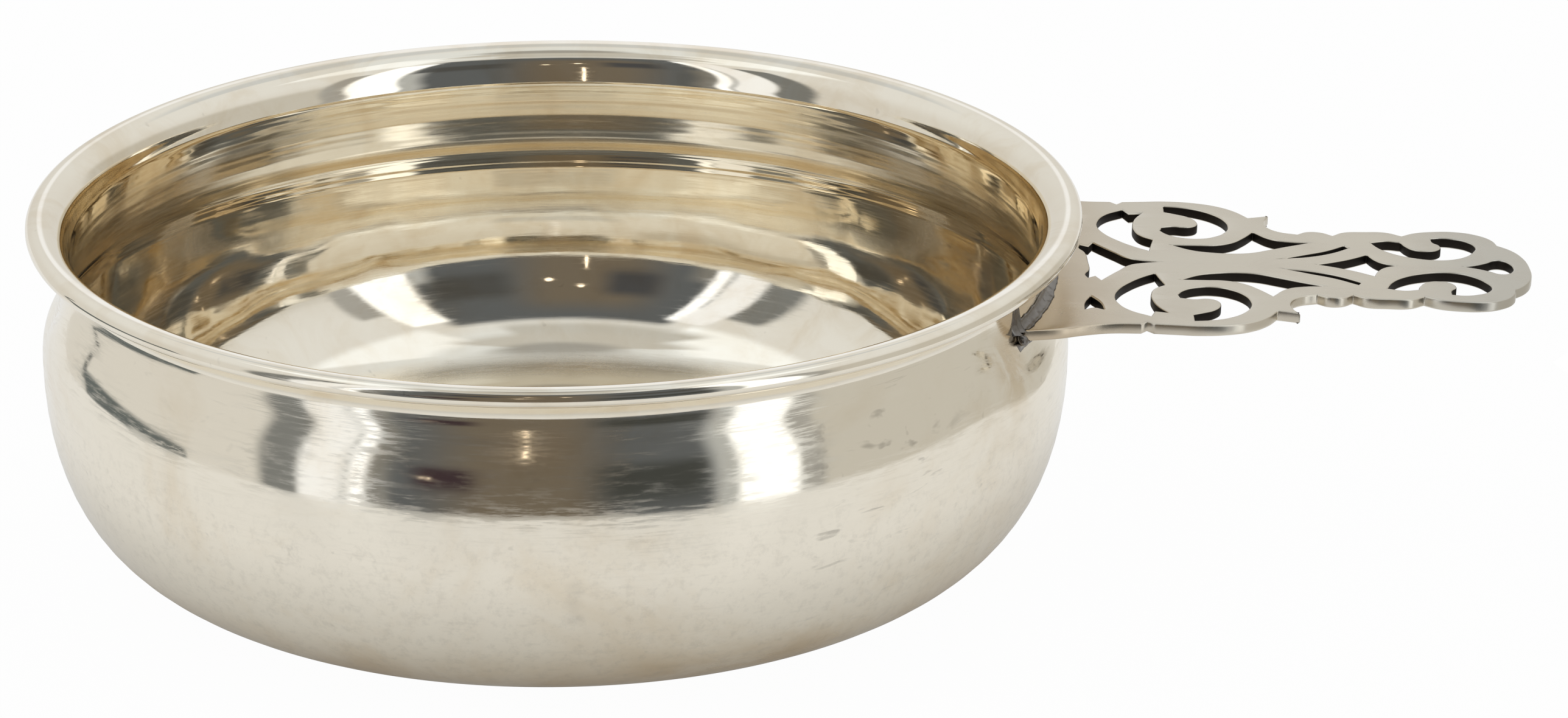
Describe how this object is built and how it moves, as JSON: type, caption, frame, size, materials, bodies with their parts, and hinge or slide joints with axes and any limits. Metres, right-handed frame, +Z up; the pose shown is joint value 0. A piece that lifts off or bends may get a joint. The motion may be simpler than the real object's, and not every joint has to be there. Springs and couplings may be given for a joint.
{
  "type": "tasting cup",
  "caption": "Small round silver tasting cup with a full belly, a thick turned-out lip and a flat pierced scroll handle soldered to its side, for sipping and judging wine.",
  "frame": {"origin": "middle of the flat base, on the table", "axes": "+Z up along the bowl's axis, +X out along the handle, +Y to the handle's left"},
  "size_m": [0.1547, 0.108, 0.0366],
  "materials": {
    "bowl_silver": "polished sterling silver, softly worn, with fine hairline scratches",
    "handle_silver": "cast sterling silver, polished on top, dark in the piercings",
    "solder_silver": "silver solder, slightly rough, dulled by tarnish"
  },
  "bodies": {
    "root": {"bowl": "bowl_silver", "handle": "handle_silver", "upper_solder_seam": "solder_silver", "lower_solder_seam": "solder_silver"}
  },
  "joints": []
}
